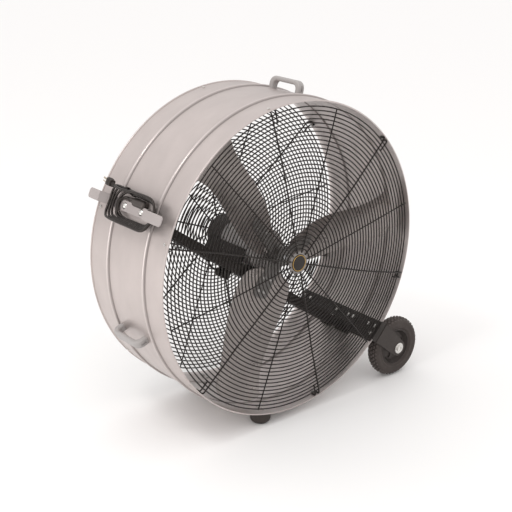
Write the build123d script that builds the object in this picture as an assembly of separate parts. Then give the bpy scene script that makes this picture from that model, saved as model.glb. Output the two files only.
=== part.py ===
from build123d import *
from math import sin, cos, radians, degrees, sqrt, pi, atan2
import math
import os

# ---------------------------------------------------------------------------
# Portable drum fan, direct drive, two wheels and two rubber feet.
# Fan frame while modelling: X to the right seen from the front, Y from the
# front to the rear with 0 at the middle of the drum, Z up, the fan's axis on
# the Y axis. shift() moves every piece so that the floor is at Z = 0 and the
# bounding box is centred in X and Y. Millimetres.
# Angles round the drum ("th") are counted from the top, clockwise as seen
# from the front.
# ---------------------------------------------------------------------------

# drum
R = 605.0            # outer radius of the drum sheet
T = 1.5              # sheet thickness
H = 234.0            # half of the drum's depth
BEAD_Y = 115.0       # rolled beads at +-115
BEAD_W = 10.0        # half width of a bead
BEAD_H = 7.0         # height of a bead
HEM = 3.5            # rolled hem, how far it stands out
AXIS_Z = 644.5       # height of the fan's axis over the floor
X_SHIFT = -41.95     # moves the bounding box to the middle in X (checked below)

# grilles
G_RINGS = 36         # concentric wires
G_PITCH = 0.025 * R  # 15.1 between wires
G_R0 = 0.0905 * R    # innermost wire
G_WIRE = 5.0         # wire width
G_Y = 229.0          # outer face of the grille from the middle plane
G_T = 4.0            # grille depth
G_DISC = 0.0765 * R  # centre plate radius
SPOKE_TH0 = {-1: -11.5, 1: -8.5}   # first clip spoke, front and rear; one every 60 degrees
SPOKE_R = 0.975 * R
CLIP_Y = 211.0       # screws that hold the grilles, from the middle plane

# struts and motor
A_STRUT = 34.8       # the struts fall to the right by this angle
ST_TOP = -98.6       # strut's top, below the axis
ST_H = 38.1          # strut height
ST_T = 3.0
ST_FL = 25.0         # flange width
ST_Y = 56.0          # outer faces of the two struts from the middle plane
PL_RI = 599.5        # inner face of the two side plates
PL_RO = R - T
M_R = 82.0           # motor shell radius
M_Y0, M_Y1 = -52.0, 124.0
SHAFT_R = 8.0
BASE_Z = -88.9       # shaft height of the motor's foot-mounted frame

# propeller
B_TIP = 0.955
B_THICK = 2.5
HUB_R = 36.0

# wheels
W_X = 571.5          # axles, to the right of the fan's axis
W_R = math.hypot(W_X, AXIS_Z - 127.0)
W_TH = 90.0 + degrees(atan2(AXIS_Z - 127.0, W_X))
W_Y = 200.0
TYRE_R = 127.0       # ten inch wheel
TYRE_W = 58.0
RIM_R = 77.0
AXLE_R = 6.30
BUSH_RI = 6.35

# handles
H_TH = (14.2, -110.5)
H_Y = 11.0
H_C = 75.0           # half of the leg spacing
H_H = 48.0

# cord wrap
CW_TH = -64.9
CORD_D = 9.5

os.makedirs("parts", exist_ok=True)
NODES = {}


def shift(s):
    return Pos(X_SHIFT, 0, AXIS_Z) * s


def put(name, *solids):
    flat = []
    for s in solids:
        flat += list(s.solids())
    for i, s in enumerate(flat):
        if not s.is_valid:
            print("INVALID", name, i)
    moved = [shift(s) for s in flat]
    c = moved[0] if len(moved) == 1 else Compound(children=moved)
    NODES[name] = c
    export_step(c, "parts/" + name + ".step")


def pol(th, r, y=0.0):
    return Vector(r * sin(radians(th)), y, r * cos(radians(th)))


def plane_at(th, y=0.0, r=R):
    # origin on the drum, x along +Y, z outward, y towards decreasing th
    return Plane(origin=pol(th, r, y), x_dir=(0, 1, 0), z_dir=(sin(radians(th)), 0, cos(radians(th))))


def ycyl(r, y0, y1, x=0.0, z=0.0):
    # cylinder along Y from y0 to y1
    return Pos(x, (y0 + y1) / 2, z) * Rot(90, 0, 0) * Cylinder(r, abs(y1 - y0))


def ytube(ro, ri, y0, y1, x=0.0, z=0.0):
    return ycyl(ro, y0, y1, x, z) - ycyl(ri, y0 - 1, y1 + 1, x, z)


def rcyl(th, y, r0, r1, rad):
    # cylinder along the radius of the drum
    p = plane_at(th, y, (r0 + r1) / 2)
    return p * Cylinder(rad, abs(r1 - r0))


def rhex(th, y, r0, r1, af, hole=0.0):
    p = plane_at(th, y, r0)
    h = p * extrude(RegularPolygon(af / 2, 6, major_radius=False), r1 - r0)
    if hole:
        h = h - rcyl(th, y, r0 - 1, r1 + 1, hole)
    return h


MF = Plane(origin=(0, 0, 0), x_dir=(cos(radians(A_STRUT)), 0, -sin(radians(A_STRUT))),
           z_dir=(sin(radians(A_STRUT)), 0, cos(radians(A_STRUT))))


def mbox(x0, x1, y0, y1, z0, z1):
    # box in the tilted frame of motor and struts
    return MF * Pos((x0 + x1) / 2, (y0 + y1) / 2, (z0 + z1) / 2) * Box(x1 - x0, y1 - y0, z1 - z0)


def mcylz(x, y, z0, z1, r):
    return MF * Pos(x, y, (z0 + z1) / 2) * Cylinder(r, z1 - z0)


def sector(th0, th1, ri, ro, y0, y1):
    # a curved plate that follows the drum
    a = [pol(th0, ri), pol(th0, ro), pol((th0 + th1) / 2, ro), pol(th1, ro), pol(th1, ri), pol((th0 + th1) / 2, ri)]
    pts = [Vector(v.X, v.Z) for v in a]
    pl = Plane(origin=(0, y0, 0), x_dir=(1, 0, 0), z_dir=(0, -1, 0))
    with BuildSketch(pl) as sk:
        with BuildLine():
            Line(pts[0], pts[1])
            ThreePointArc(pts[1], pts[2], pts[3])
            Line(pts[3], pts[4])
            ThreePointArc(pts[4], pts[5], pts[0])
        make_face()
    return extrude(sk.sketch, -(y1 - y0))


# --- fastener positions (th, y) --------------------------------------------
screw_th = {s: [SPOKE_TH0[s] + 60 * k for k in range(6)] for s in (-1, 1)}
grille_pos = [(t, s * CLIP_Y) for s in (-1, 1) for t in screw_th[s]]
WRAP_Y = (-51.5, 51.5)
wrap_pos = [(CW_TH, y) for y in WRAP_Y]
strut_pos = [(131.0, -60.0), (131.0, -92.0), (131.0, 12.0), (134.4, 10.0)]
wb_pos = [(t, s * y) for s in (-1, 1) for (t, y) in ((131.0, 214.0), (131.0, 178.0), (134.4, 212.0))]
FOOT_X = -130.0
FOOT_TH = 180.0 + degrees(atan2(-FOOT_X, 591.0))
FOOT_Y = 179.0
foot_pos = [(FOOT_TH, s * FOOT_Y + d) for s in (-1, 1) for d in (-15, 15)]
handle_pos = [(t, H_Y + d) for t in H_TH for d in (-H_C, H_C)]
GL_TH = CW_TH + degrees(31.0 / R)
GL_Y = -22.0
SW_TH, SW_Y = 62.0, 54.0
switch_pos = [(SW_TH, SW_Y - 32), (SW_TH, SW_Y + 32)]

# --- drum housing -----------------------------------------------------------
with BuildSketch(Plane.XY) as sk:
    with BuildLine():
        yo = [-H, -BEAD_Y, BEAD_Y, H]
        # outer side, front to rear
        ThreePointArc((R, -H), (R + HEM, -H + 3.5), (R, -H + 7))
        Line((R, -H + 7), (R, -BEAD_Y - BEAD_W))
        ThreePointArc((R, -BEAD_Y - BEAD_W), (R + BEAD_H, -BEAD_Y), (R, -BEAD_Y + BEAD_W))
        Line((R, -BEAD_Y + BEAD_W), (R, BEAD_Y - BEAD_W))
        ThreePointArc((R, BEAD_Y - BEAD_W), (R + BEAD_H, BEAD_Y), (R, BEAD_Y + BEAD_W))
        Line((R, BEAD_Y + BEAD_W), (R, H - 7))
        ThreePointArc((R, H - 7), (R + HEM, H - 3.5), (R, H))
        Line((R, H), (R - T, H))
        # inner side, rear to front
        b = BEAD_W - 1.2
        Line((R - T, H), (R - T, BEAD_Y + b))
        ThreePointArc((R - T, BEAD_Y + b), (R - T + BEAD_H, BEAD_Y), (R - T, BEAD_Y - b))
        Line((R - T, BEAD_Y - b), (R - T, -BEAD_Y + b))
        ThreePointArc((R - T, -BEAD_Y + b), (R - T + BEAD_H, -BEAD_Y), (R - T, -BEAD_Y - b))
        Line((R - T, -BEAD_Y - b), (R - T, -H))
        Line((R - T, -H), (R, -H))
    make_face()
drum = revolve(sk.sketch, Axis.Y, 360)
cut = []
for t, y in grille_pos:
    cut.append(rcyl(t, y, R - 20, R + 20, 2.75))
for t, y in wrap_pos + strut_pos + wb_pos + foot_pos:
    cut.append(rcyl(t, y, R - 20, R + 20, 4.25))
for t, y in handle_pos + switch_pos:
    cut.append(rcyl(t, y, R - 20, R + 20, 3.2))
cut.append(rcyl(GL_TH, GL_Y, R - 20, R + 20, 9.0))
cut.append(rcyl(SW_TH, SW_Y, R - 20, R + 20, 7.0))
for c in cut:
    drum = drum - c
put("drum_housing", drum)


# --- grilles: rings and spokes in one welded piece ---------------------------
def grille(sign):
    # windows between rings and spokes, cut from a flat disc by construction:
    # the face is made from its outer wire and all window wires
    n = 12
    half = 2.8                      # half width of a spoke
    r_out = G_R0 + G_PITCH * (G_RINGS - 1) + G_WIRE / 2
    outer = Wire.make_circle(r_out, Plane.XY)
    holes = []
    edges_r = [G_DISC] + [G_R0 + G_PITCH * i + G_WIRE / 2 for i in range(G_RINGS - 1)]
    edges_o = [G_R0 + G_PITCH * i - G_WIRE / 2 for i in range(G_RINGS)]
    for ri, ro in zip(edges_r, edges_o):
        for k in range(n):
            t0 = 90 - (SPOKE_TH0[sign] + 30 * k)    # spoke k, math angle
            t1 = t0 - 30
            # window between spoke k (at t0) and spoke k+1 (at t1)
            a_i, a_o = degrees(half / ri), degrees(half / ro)
            p = lambda r, a: Vector(r * cos(radians(a)), r * sin(radians(a)))
            e = [Edge.make_three_point_arc(p(ro, t0 - a_o), p(ro, (t0 + t1) / 2), p(ro, t1 + a_o)),
                 Edge.make_line(p(ro, t1 + a_o), p(ri, t1 + a_i)),
                 Edge.make_three_point_arc(p(ri, t1 + a_i), p(ri, (t0 + t1) / 2), p(ri, t0 - a_i)),
                 Edge.make_line(p(ri, t0 - a_i), p(ro, t0 - a_o))]
            holes.append(Wire(e))
    f = Face(outer, holes)
    s = Solid.extrude(f, Vector(0, 0, G_T))
    # sketch plane XY -> world XZ, thickness along Y
    s = Rot(90, 0, 0) * s           # (x,y,z) -> (x,-z,y): thickness runs to -Y
    if sign < 0:
        return Pos(0, -G_Y + G_T, 0) * s
    return Pos(0, G_Y, 0) * s


g_out = G_R0 + G_PITCH * (G_RINGS - 1) + G_WIRE / 2
put("front_grille", grille(-1))
put("rear_grille", grille(1))

# L-shaped clips: lie on the inner side of the grille, turn along the drum wall
clips = []
for s in (-1, 1):
    for t in screw_th[s]:
        p = plane_at(t, 0, 0)       # x along Y, z outward from the axis
        yg = G_Y - G_T
        a = p * Pos(s * (yg - 1.25), 0, (562 + 601) / 2) * Box(2.5, 16, 39)
        b = p * Pos(s * (yg - 2.5 - 14), 0, 601.9) * Box(28, 16, 2.4)
        c = p * Pos(s * (yg - 1.25), 0, 601.9) * Box(2.5, 16, 2.4)
        cl = a + b + c
        cl = cl - rcyl(t, s * CLIP_Y, R - 20, R + 20, 2.6)
        cl = cl & ycyl(R - T, -H, H)
        clips.append(cl)
put("grille_clips", *clips)

scr = []
for t, y in grille_pos:
    head = rcyl(t, y, R + 0.05, R + 3.2, 6.0)
    sh = rcyl(t, y, R - 12, R + 0.05, 2.5)
    nut = rhex(t, y, R - 9.5, R - 5.0, 8.0)
    sc = (head + sh + nut)
    scr.append(sc)
put("grille_screws", *scr)

# centre badge, bare, with a plain ring
put("centre_badge", ycyl(34.0, -G_Y - 2.0, -G_Y), ytube(34.0, 31.4, -G_Y - 2.8, -G_Y - 2.0))

# --- side plates -------------------------------------------------------------
plate_r = sector(128.4, 137.3, PL_RI, PL_RO, -H + 4, H - 4)
for t, y in strut_pos + wb_pos:
    plate_r = plate_r - rcyl(t, y, R - 20, R + 20, 4.25)
put("wheel_side_plate", plate_r)
plate_l = sector(-71.0, -60.2, PL_RI, PL_RO, -88, 88)
for t, y in wrap_pos:
    plate_l = plate_l - rcyl(t, y, R - 20, R + 20, 4.25)
plate_l = plate_l - rcyl(GL_TH, GL_Y, R - 20, R + 20, 13.0)
put("wrap_side_plate", plate_l)


# --- struts: channels with end tabs -----------------------------------------
def strut(sign):
    # web on the outer side (front strut: front), flanges towards the middle
    yo = sign * ST_Y
    yi = sign * (ST_Y - ST_T)
    yf = sign * (ST_Y - ST_FL)
    z0, z1 = ST_TOP - ST_H, ST_TOP
    lo, hi = min(yo, yi), max(yo, yi)
    web = mbox(-620, 620, lo, hi, z0, z1)
    f0, f1 = min(yo, yf), max(yo, yf)
    top = mbox(-620, 620, f0, f1, z1 - ST_T, z1)
    bot = mbox(-620, 620, f0, f1, z0, z0 + ST_T)
    s = (web + top + bot) & ycyl(PL_RI - 1.6, -H, H)     # ends inside the thickness of the tabs
    # end tabs follow the side plates; the left one reaches the wrap's bolt
    ya, yb = (-105.0, -30.0) if sign < 0 else (0.0, ST_Y)
    tr = sector(129.2, 138.6, PL_RI - 3.0, PL_RI, ya, yb)
    ya, yb = min(sign * 38.0, sign * 64.0), max(sign * 38.0, sign * 64.0)
    tl = sector(-68.4, -62.9, PL_RI - 3.0, PL_RI, ya, yb)
    for t, y in wrap_pos + strut_pos:       # room for the nuts
        s = s - rcyl(t, y, R - 45, PL_RI - 2.0, 9.0)
    s = s + tr + tl
    for t, y in wrap_pos:
        s = s - rcyl(t, y, R - 30, R + 20, 4.25)
    for t, y in strut_pos:
        s = s - rcyl(t, y, R - 30, R + 20, 4.25)
    # motor bolts
    for x in (-62, 62):
        s = s - mcylz(x, sign * 42.0, z1 - 10, z1 + 10, 4.25)
    return s


fs = strut(-1)
rs_ = strut(1)

# --- motor -------------------------------------------------------------------
shell = ytube(M_R, M_R - 3.5, M_Y0, M_Y1)
# ventilation slots at both ends of the shell
for k in range(12):
    a = 30 * k + 15
    for ys in (M_Y0 + 14, M_Y1 - 14):
        q = Plane(origin=(0, ys, 0), x_dir=(0, 1, 0), z_dir=(sin(radians(a)), 0, cos(radians(a))))
        shell = shell - q * Pos(0, 0, M_R - 2) * Box(14, 5, 12)
put("motor_shell", shell)


def bell(y_in, y_out, with_bore):
    # end bell: rim seated against the shell, closed dome with a bearing seat
    s = 1 if y_out > y_in else -1
    with BuildSketch(Plane.XY) as k:
        with BuildLine():
            Polyline((0, y_in), (M_R - 3.5, y_in), (M_R, y_in), (M_R, y_in + s * 4), (M_R - 8, y_in + s * 11),
                     (34, y_out - s * 3), (26, y_out), (0, y_out), (0, y_in))
        make_face()
    b = revolve(k.sketch, Axis.Y, 360)
    with BuildSketch(Plane.XY) as k2:
        with BuildLine():
            Polyline((0, y_in - s * 1), (M_R - 6, y_in - s * 1), (M_R - 6, y_in + s * 3), (M_R - 11, y_in + s * 7),
                     (25, y_out - s * 8), (0, y_out - s * 8), (0, y_in - s * 1))
        make_face()
    b = b - revolve(k2.sketch, Axis.Y, 360)
    # bearing seat ring, inside
    lo, hi = min(y_out - s * 8, y_out - s * 19), max(y_out - s * 8, y_out - s * 19)
    b = b + ytube(24, 17.5, lo, hi)
    if with_bore:
        b = b - ycyl(10.0, min(y_in, y_out) - 5, max(y_in, y_out) + 5)
    for a in (45, 135, 225, 315):
        b = b - ycyl(2.7, min(y_in, y_out) - 5, max(y_in, y_out) + 5, (M_R - 14) * sin(radians(a)), (M_R - 14) * cos(radians(a)))
    return b


YF_OUT = M_Y0 - 20.0
YR_OUT = M_Y1 + 20.0
put("motor_front_bell", bell(M_Y0, YF_OUT, True))
put("motor_rear_bell", bell(M_Y1, YR_OUT, False))
bf0, bf1 = YF_OUT + 8.0, YF_OUT + 19.0
br0, br1 = YR_OUT - 19.0, YR_OUT - 8.0
put("motor_bearings", ytube(17.5, SHAFT_R + 0.05, bf0, bf1), ytube(17.5, SHAFT_R + 0.05, br0, br1))
st0, st1 = -22.0, 74.0
stator = ytube(M_R - 3.5, 45.0, st0, st1)
wind = ytube(72.0, 50.0, st0 - 14, st0) + ytube(72.0, 50.0, st1, st1 + 14)
for a in (45, 135, 225, 315):
    stator = stator - ycyl(2.7, st0 - 1, st1 + 1, (M_R - 14) * sin(radians(a)), (M_R - 14) * cos(radians(a)))
    wind = wind - ycyl(3.2, st0 - 20, st1 + 20, (M_R - 14) * sin(radians(a)), (M_R - 14) * cos(radians(a)))
put("motor_stator", stator, wind)
put("motor_rotor", ytube(44.5, SHAFT_R, st0 + 2, st1 - 2))
bolts = []
for a in (45, 135, 225, 315):
    x, z = (M_R - 14) * sin(radians(a)), (M_R - 14) * cos(radians(a))
    bolts.append(ycyl(2.4, M_Y0 - 13.5, M_Y1 + 13.5, x, z) + ycyl(4.6, M_Y0 - 16.6, M_Y0 - 13.1, x, z)
                 + ycyl(4.6, M_Y1 + 13.1, M_Y1 + 16.6, x, z))
put("motor_through_bolts", *bolts)

# motor foot: flat plate and two saddle walls welded to the shell
base = mbox(-77, 77, -54, 190, BASE_Z - 5.5, BASE_Z)
for x0, x1 in ((-77, -72), (72, 77)):
    base = base + mbox(x0, x1, -30, 190, BASE_Z, -36)
base = base - ycyl(M_R, -H, H)
for x in (-62, 62):
    for y in (-42, 42):
        base = base - mcylz(x, y, BASE_Z - 10, BASE_Z + 5, 4.25)
base = base - mbox(-25, 25, -25, 25, BASE_Z - 10, BASE_Z + 5)
put("motor_base", base)
iso = []
for x in (-62, 62):
    for y in (-42, 42):
        iso.append(mcylz(x, y, ST_TOP, BASE_Z - 5.5, 10.5) - mcylz(x, y, ST_TOP - 1, BASE_Z, 4.25))
put("motor_isolators", *iso)

# black cover behind the motor, over the capacitor; terminal box under the rear strut
cov = ytube(76.0, 73.6, 130.0, 220.0) + ytube(76.0, 24.0, 217.6, 220.0)
cov = cov - bell(M_Y1, YR_OUT, False)
cov = cov + ycyl(24.0, 218.1, 219.5)
for k in range(16):
    a = 22.5 * k
    q = Plane(origin=(0, 218.8, 0), x_dir=(sin(radians(a)), 0, cos(radians(a))), z_dir=(0, 1, 0))
    cov = cov - q * Pos(49, 0, 0) * Box(38, 6, 8)
# the capacitor rests in a saddle inside the cover
can = MF * Pos(0, 184, -48) * Rot(90, 0, 0) * Cylinder(22.5, 66)
saddle = mbox(-16, 16, 158, 206, -74.0, -56) - MF * Pos(0, 184, -48) * Rot(90, 0, 0) * Cylinder(22.5, 80)
cov = cov + saddle
put("motor_rear_cover", cov)
cans = can + MF * Pos(0, 150.2, -48) * Rot(90, 0, 0) * Cylinder(19.0, 2)
for x in (-8, 8):
    cans = cans + mbox(x - 3, x + 3, 145.5, 150, -48.4, -47.6)
put("run_capacitor", cans)
tb = mbox(-82, -48, 8, 56, -172, ST_TOP - ST_H - 0.1)
tb = fillet(tb.edges(), 4)
tb_neck = mbox(-75, -55, 11, 28, -140, BASE_Z - 5.6)
tb_fit = MF * Pos(-89, 38, -155) * Rot(0, 90, 0) * Cylinder(12.0, 16) + MF * Pos(-84.5, 38, -155) * Rot(0, 90, 0) * Cylinder(15.0, 5)
tb = tb + tb_neck + tb_fit
put("terminal_box", tb)

# --- propeller ---------------------------------------------------------------


def prop_point(r, s, off=0.0):
    # r, s -> point on the blade's rear face; r in drum radii, s across the chord
    ta = -96.54 + 128.91 * r - 81.78 * r * r
    tb_ = 22.84 - 106.98 * r + 59.435 * r * r
    ya = 0.072 + 0.243 * r - 0.222 * r * r
    yb = 0.270 + 0.049 * r - 0.195 * r * r
    k = min(1.0, max(0.0, (r - 0.05) / 0.20))
    k = k * k * (3 - 2 * k)
    kp = 0.30 + 0.70 * k
    kw = 0.62 + 0.38 * k
    s2 = 0.5 + (s - 0.5) * kw
    th = ta + (tb_ - ta) * s2
    ym = (ya + yb) / 2
    y = ym + (yb - ya) * kp * (s2 - 0.5) + 0.020 * k * 4 * s2 * (1 - s2)
    return Vector(R * r * sin(radians(th)), -H + R * y + off, R * r * cos(radians(th)))


def chord_mm(r):
    a = prop_point(r, 0.0)
    b = prop_point(r, 1.0)
    return (a - b).length


def surf(r0, r1f, s0f, s1f, nr, ns, off=0.0):
    rows = []
    for i in range(nr):
        t = i / (nr - 1)
        row = []
        for j in range(ns):
            q = j / (ns - 1)
            # radius of this point, tip corners rounded off
            r = r0 + t * (r1f(q) - r0)
            s = s0f(r) + (s1f(r) - s0f(r)) * q
            row.append(prop_point(r, s, off))
        rows.append(row)
    return Face.make_surface_from_array_of_points(rows, tol=0.01, smoothing=None, min_deg=1, max_deg=5)


def tip(q):
    e = abs(2 * q - 1)
    return B_TIP - 0.045 * e ** 5


bl_face = surf(0.115, tip, lambda r: 0.0, lambda r: 1.0, 16, 9)
YN = 1 if bl_face.normal_at(bl_face.center()).Y > 0 else -1
blade0 = Solid.thicken(bl_face, B_THICK * YN)       # towards the rear
# the hub's arm lies on the blade's front side
arm_hw = 27.0
arm_face = surf(0.045, lambda q: 0.300 - 0.012 * abs(2 * q - 1) ** 4, lambda r: 0.5 - min(0.46, arm_hw / max(30.0, chord_mm(r))),
                lambda r: 0.5 + min(0.46, arm_hw / max(30.0, chord_mm(r))), 10, 5)
AN = 1 if arm_face.normal_at(arm_face.center()).Y > 0 else -1
arm0 = Solid.thicken(arm_face.moved(Location((0, -1.0, 0))), -5.0 * AN)      # towards the front
# the arm is pressed to the blade's shape: nothing of it behind the blade's front face
behind = Solid.thicken(bl_face.moved(Location((0, -0.05, 0))), (B_THICK + 8.0) * YN)
arm0 = max((arm0 - behind).solids(), key=lambda q: q.volume)
ARM_T = 6.2
print("blade", blade0.volume, blade0.is_valid, "arm", arm0.volume, arm0.is_valid)
HUB_Y0, HUB_Y1 = -H + 72.0, -H + 152.0
hub = ycyl(HUB_R, HUB_Y0, HUB_Y1)
rot3 = [Rot(0, 120 * k, 0) for k in range(3)]
for k in range(3):
    hub = hub + rot3[k] * arm0
hub = hub - ycyl(SHAFT_R, -H, H)
# set screw holes
hub = hub - Pos(0, HUB_Y1 - 9, 22) * Cylinder(3.0, 34)
print("hub solids", len(hub.solids()))

# rivets: blade to arm, four on each
riv_pts = [(0.165, 0.5 - 0.09), (0.165, 0.5 + 0.09), (0.255, 0.5 - 0.055), (0.255, 0.5 + 0.055)]
riv, rivcut = [], []
for (r, s) in riv_pts:
    p0 = prop_point(r, s)
    e = 0.002
    du = prop_point(r + e, s) - prop_point(r - e, s)
    dv = prop_point(r, s + e) - prop_point(r, s - e)
    n = du.cross(dv).normalized()
    if n.Y < 0:
        n = n * -1
    pl = Plane(origin=p0, z_dir=n)
    body = pl * Pos(0, 0, (B_THICK - ARM_T) / 2) * Cylinder(3.0, B_THICK + ARM_T + 1.0)
    h1 = pl * Pos(0, 0, B_THICK + 1.45) * Cylinder(6.0, 2.3)
    h2 = pl * Pos(0, 0, -ARM_T - 1.35) * Cylinder(6.0, 2.3)
    riv.append(body + h1 + h2)
    rivcut.append(pl * Cylinder(3.05, 24))
    rivcut.append(pl * Pos(0, 0, B_THICK + 5.3) * Cylinder(6.2, 10))
    rivcut.append(pl * Pos(0, 0, -ARM_T - 5.2) * Cylinder(6.2, 10))
# the blade's root stops clear of the hub barrel
blade1 = blade0 - ycyl(HUB_R + 4, -H, H)
for c in rivcut[0::3]:
    blade1 = blade1 - c
for c in rivcut[1::3]:
    blade1 = blade1 - c
for k in range(3):
    for c in rivcut[0::3]:
        hub = hub - rot3[k] * c
    for c in rivcut[2::3]:
        hub = hub - rot3[k] * c
for k in range(3):
    put("fan_blade_%d" % (k + 1), rot3[k] * blade1)
put("fan_hub", hub)
put("blade_rivets", *[rot3[k] * r for k in range(3) for r in riv])
put("hub_set_screw", Pos(0, HUB_Y1 - 9, SHAFT_R + 8 + 3) * Cylinder(3.0, 22 - 0.2) & ycyl(HUB_R + 2, -H, H))
shaft = ycyl(SHAFT_R, HUB_Y0 - 6, br1 - 0.5)
put("motor_shaft", shaft)

# --- wheels ------------------------------------------------------------------
wx, wz = W_X, TYRE_R - AXIS_Z
for s, nm in ((-1, "front"), (1, "rear")):
    yc = s * W_Y
    # tyre: a rounded section turned about the axle, with a tread groove each side of the middle
    with BuildSketch(Plane.XY) as k:
        with BuildLine():
            w = TYRE_W / 2
            Spline((RIM_R, -w + 9), (RIM_R + 14, -w + 1), (TYRE_R - 18, -w), (TYRE_R - 5, -w + 7), (TYRE_R, 0),
                   (TYRE_R - 5, w - 7), (TYRE_R - 18, w), (RIM_R + 14, w - 1), (RIM_R, w - 9))
            Line((RIM_R, w - 9), (RIM_R, -w + 9))
        make_face()
    ty = revolve(k.sketch, Axis.Y, 360)
    put(nm + "_tyre", Pos(wx, yc, wz) * ty)
    with BuildSketch(Plane.XY) as k:
        with BuildLine():
            w = TYRE_W / 2
            Polyline((10, -w - 4), (16, -w - 4), (18, -9), (30, -5), (60, -5), (69, -w + 12), (72, -w + 7), (RIM_R, -w + 9),
                     (RIM_R, w - 9), (72, w - 7), (69, w - 12), (60, 5), (30, 5), (18, 9), (16, w + 4), (10, w + 4), (10, -w - 4))
        make_face()
    rim = revolve(k.sketch, Axis.Y, 360)
    for j in range(5):
        a = 72 * j
        for ya, yb in ((-20, -1.5), (1.5, 20)):     # pressed recesses, a thin web stays
            rim = rim - ycyl(12.0, ya, yb, 45 * sin(radians(a)), 45 * cos(radians(a)))
    put(nm + "_wheel_rim", Pos(wx, yc, wz) * rim)
    put(nm + "_wheel_bearing", ytube(10.0, BUSH_RI, yc - 34.6, yc + 34.6, wx, wz))

# brackets: U of plate, web on a spacer, two tapered ears with round ends
EAR = 34.0
EP_T = 4.5
brk, spc, axb, axn = {}, [], [], []
for s, nm in ((-1, "front"), (1, "rear")):
    yo = s * 239.5
    yi = s * 160.5
    pw = plane_at(W_TH, 0, R)
    w_ax = W_R - R
    # ear outline in the plane's (z outward, y tangential); built in XY then placed
    with BuildSketch() as k:
        with BuildLine():
            # tangent points from the base corners to the end circle
            bx, by = 23.0, 44.0
            dx, dy = w_ax - bx, 0 - by
            dd = math.hypot(dx, dy)
            base_a = math.atan2(dy, dx)
            off_a = math.asin(EAR / dd)
            ta_ = base_a + off_a
            L = math.sqrt(dd * dd - EAR * EAR)
            px, py = bx + L * math.cos(ta_), by + L * math.sin(ta_)
            Line((bx, -by), (px, -py))
            ThreePointArc((px, -py), (w_ax + EAR, 0), (px, py))
            Line((px, py), (bx, by))
            Line((bx, by), (bx, -by))
        make_face()
    # local: sketch x -> outward, sketch y -> tangential (increasing th), extrude along Y
    rad = Vector(sin(radians(W_TH)), 0, cos(radians(W_TH)))
    tan = Vector(cos(radians(W_TH)), 0, -sin(radians(W_TH)))
    # rad x tan gives the extrusion direction
    zd = rad.cross(tan)
    for (ya, yb) in ((yo, yo - s * EP_T), (yi + s * EP_T, yi)):
        pl = Plane(origin=pol(W_TH, R, ya), x_dir=rad, z_dir=zd)
        ear = pl * extrude(k.sketch, (yb - ya) * zd.Y)
        brk.setdefault(nm, []).append(ear)
    web = pw * Pos((yo + yi) / 2, 0, 25.0) * Box(abs(yo - yi), 88, 4)
    u = brk[nm][0] + brk[nm][1] + web
    u = u - ycyl(AXLE_R + 0.15, -300, 300, wx, wz)
    for t, y in wb_pos:
        u = u - rcyl(t, y, R - 20, R + 60, 4.25)
    put(nm + "_wheel_bracket", u)
    sp = pw * Pos(s * W_Y, 0, 10.0) * Box(74, 88, 26)
    sp = sp - pw * Pos(s * W_Y, 0, 8) * Box(66, 80, 23)
    for t, y in wb_pos:
        if y * s > 0:
            # bosses around the bolts
            sp = sp + rcyl(t, y, R - 5, R + 22.5, 8.0)
    sp = sp - ycyl(R, -H - 50, H + 50) - ycyl(R + HEM + 0.3, H - 8, H + 50) - ycyl(R + HEM + 0.3, -H - 50, -H + 8)
    # lip over the end of the drum
    ya, yb = (-236.9, -234.4) if s < 0 else (234.4, 236.9)
    sp = sp + sector(128.1, 136.2, 598.0, 613.0, ya, yb)
    for t, y in wb_pos:
        sp = sp - rcyl(t, y, R - 20, R + 60, 4.25)
    spc.append(sp)
    # axle bolt: washer face, head, shank; nut inside
    head = ycyl(23.0, yo + s * 2.6, yo, wx, wz) + ycyl(13.5, yo + s * 9.0, yo + s * 2.0, wx, wz)
    head = head - ycyl(8.0, yo + s * 9.5, yo + s * 6.8, wx, wz)
    shank = ycyl(AXLE_R, yo + s * 0.5, yi - s * 12.0, wx, wz)
    axb.append(head + shank)
    nutp = Pos(wx, yi - s * 5.0, wz) * Rot(90, 0, 0) * extrude(RegularPolygon(9.5, 6, major_radius=False), 5, both=True)
    nutp = nutp - ycyl(AXLE_R, -300, 300, wx, wz)
    axn.append(nutp)
put("wheel_bracket_spacers", *spc)
put("axle_bolts", *axb)
put("axle_nuts", *axn)

# --- M8 bolts and nuts -------------------------------------------------------
m8, nuts = [], []
for t, y in strut_pos:
    m8.append(rcyl(t, y, PL_RI - 3.0 - 10, R + 0.3, 4.0) + rhex(t, y, R + 0.3, R + 5.6, 13.0))
    nuts.append(rhex(t, y, PL_RI - 3.0 - 7.0, PL_RI - 3.35, 13.0, 4.0))
for t, y in wb_pos:
    m8.append(rcyl(t, y, PL_RI - 10, R + 28.2, 4.0) + rhex(t, y, R + 28.2, R + 33.5, 13.0))
    nuts.append(rhex(t, y, PL_RI - 7.0, PL_RI - 0.35, 13.0, 4.0))
for x in (-62, 62):
    for y in (-42, 42):
        m8.append(mcylz(x, y, ST_TOP - ST_T - 10, BASE_Z + 0.2, 4.0) +
                  MF * Pos(x, y, BASE_Z + 0.2) * extrude(RegularPolygon(6.5, 6, major_radius=False), 5.3))
        nuts.append(MF * Pos(x, y, ST_TOP - ST_T - 7.0) * extrude(RegularPolygon(6.5, 6, major_radius=False), 6.8)
                    - mcylz(x, y, ST_TOP - 30, ST_TOP, 4.0))
# carriage bolts of the cord wrap
wrapb = []
for t, y in wrap_pos:
    hd = plane_at(t, y, R + 16.0 - 9.0) * (Sphere(15.0) & Pos(0, 0, 12) * Box(40, 40, 6.0))
    wrapb.append(hd + rcyl(t, y, PL_RI - 3.0 - 10, R + 17.0, 4.0))
    nuts.append(rhex(t, y, PL_RI - 3.0 - 7.0, PL_RI - 3.35, 13.0, 4.0))
put("frame_bolts", *m8)
put("frame_nuts", *nuts)
put("front_strut", fs)
put("rear_strut", rs_)

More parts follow.
